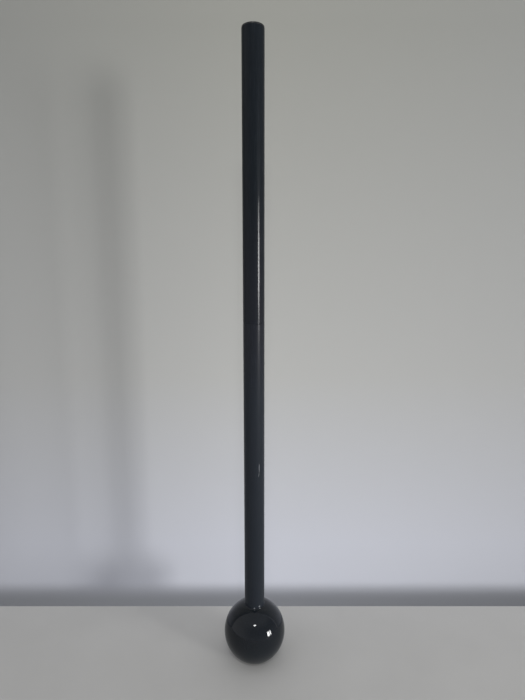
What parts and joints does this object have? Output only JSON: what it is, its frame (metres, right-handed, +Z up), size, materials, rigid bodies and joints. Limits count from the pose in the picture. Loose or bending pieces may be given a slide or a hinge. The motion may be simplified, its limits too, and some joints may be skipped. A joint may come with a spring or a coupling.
{
  "type": "devil stick",
  "caption": "Straight round take-apart devil stick, glossy black, standing on a ball bolted to its lower end, flat cap on top.",
  "frame": {"origin": "middle of the foot pad's underside, on the surface the stick stands on", "axes": "+Z up along the stick's axis towards the end cap; the part is round, so X and Y are free"},
  "size_m": [0.062, 0.062, 0.6],
  "materials": {
    "ball_lacquer": "turned hardwood under black high-gloss lacquer",
    "gloss_enamel": "aluminium tube under black gloss enamel",
    "satin_enamel": "aluminium tube under black enamel, a little more satin",
    "cap_plastic": "moulded black plastic, semi-gloss",
    "turned_aluminium": "turned, bare",
    "plated_steel": "zinc-plated thread steel",
    "black_rubber": "moulded, matt"
  },
  "bodies": {
    "lower_section": {"ball": "ball_lacquer", "ball_bolt": "plated_steel", "lock_washer": "plated_steel", "bolt_washer": "plated_steel", "foot_pad": "black_rubber", "lower_tube": "satin_enamel", "foot_plug": "turned_aluminium", "lower_ferrule": "turned_aluminium"},
    "joint_seal": {"joint_ring": "black_rubber"},
    "upper_section": {"joint_pin": "plated_steel", "upper_ferrule": "turned_aluminium", "upper_tube": "gloss_enamel", "end_cap": "cap_plastic"}
  },
  "joints": [
    {"name": "lift", "type": "slide", "parent": "lower_section", "child": "joint_seal", "axis": [0, 0, 1], "range_m": [0, 0.018]},
    {"name": "unscrew", "type": "hinge", "parent": "joint_seal", "child": "upper_section", "pos_m": [0, 0, 0.346], "axis": [0, 0, 1], "range_deg": [0, 4320]}
  ],
  "couplings": [
    {"joint": "lift", "follows": "unscrew", "m_per_rad": 0.00023873}
  ]
}
